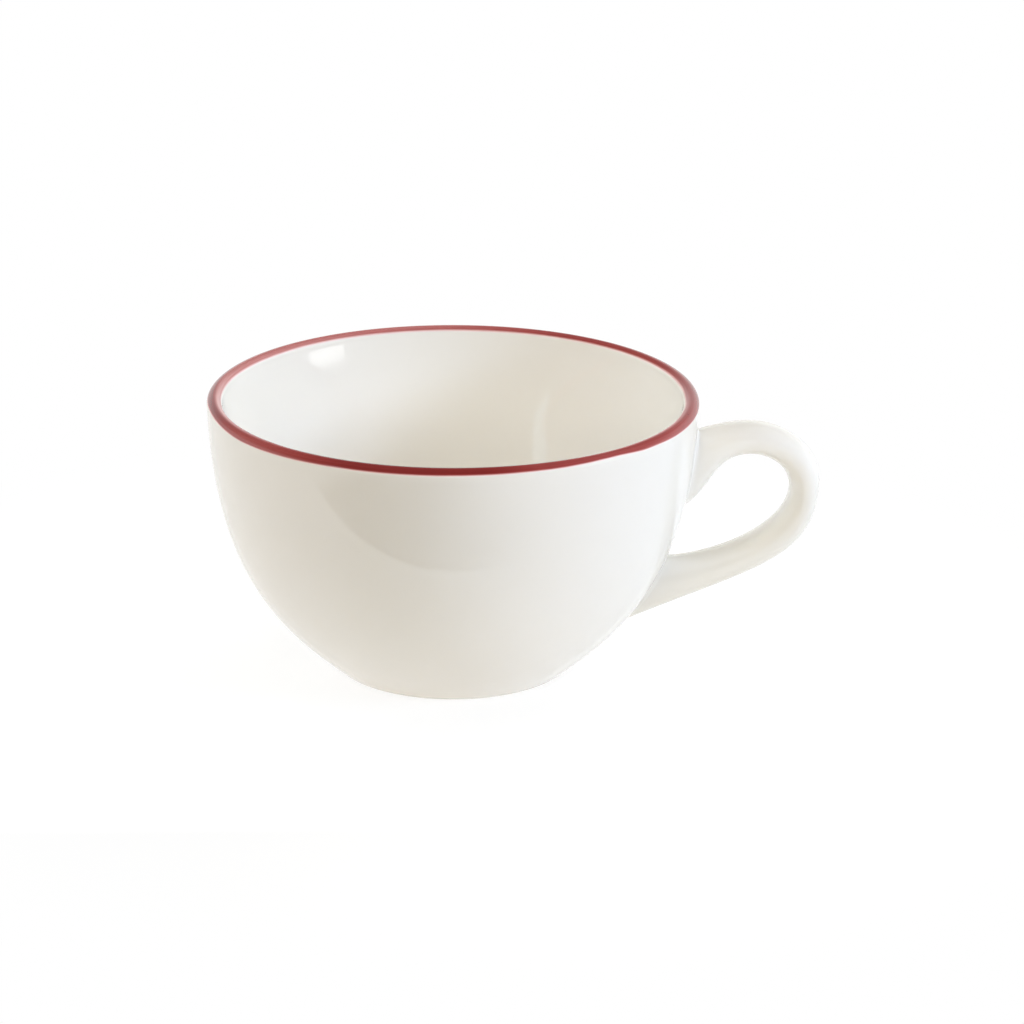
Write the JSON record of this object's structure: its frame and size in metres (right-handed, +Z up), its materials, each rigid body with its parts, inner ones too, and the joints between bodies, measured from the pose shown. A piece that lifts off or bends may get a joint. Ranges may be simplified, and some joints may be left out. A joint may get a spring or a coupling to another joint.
{
  "type": "coffee cup",
  "caption": "Low wide porcelain coffee cup with a rounded bowl, a looped side handle and a red band on its lip, standing on a recessed foot ring.",
  "frame": {"origin": "on the table, at the middle of the whole cup's footprint, handle included; the bowl's axis is at x = -13.25 mm", "axes": "+X from the bowl's axis towards the handle, +Z up"},
  "size_m": [0.1315, 0.105, 0.0602],
  "materials": {
    "white_porcelain": "clear glossy glaze over warm white porcelain; the foot's standing ring is unglazed",
    "luting_slip": "sponged smooth and covered by the same clear glaze",
    "red_glaze": "glossy brick red, painted by hand"
  },
  "bodies": {
    "root": {"bowl": "white_porcelain", "handle": "white_porcelain", "upper_slip_joint": "luting_slip", "lower_slip_joint": "luting_slip", "rim_band": "red_glaze"}
  },
  "joints": []
}
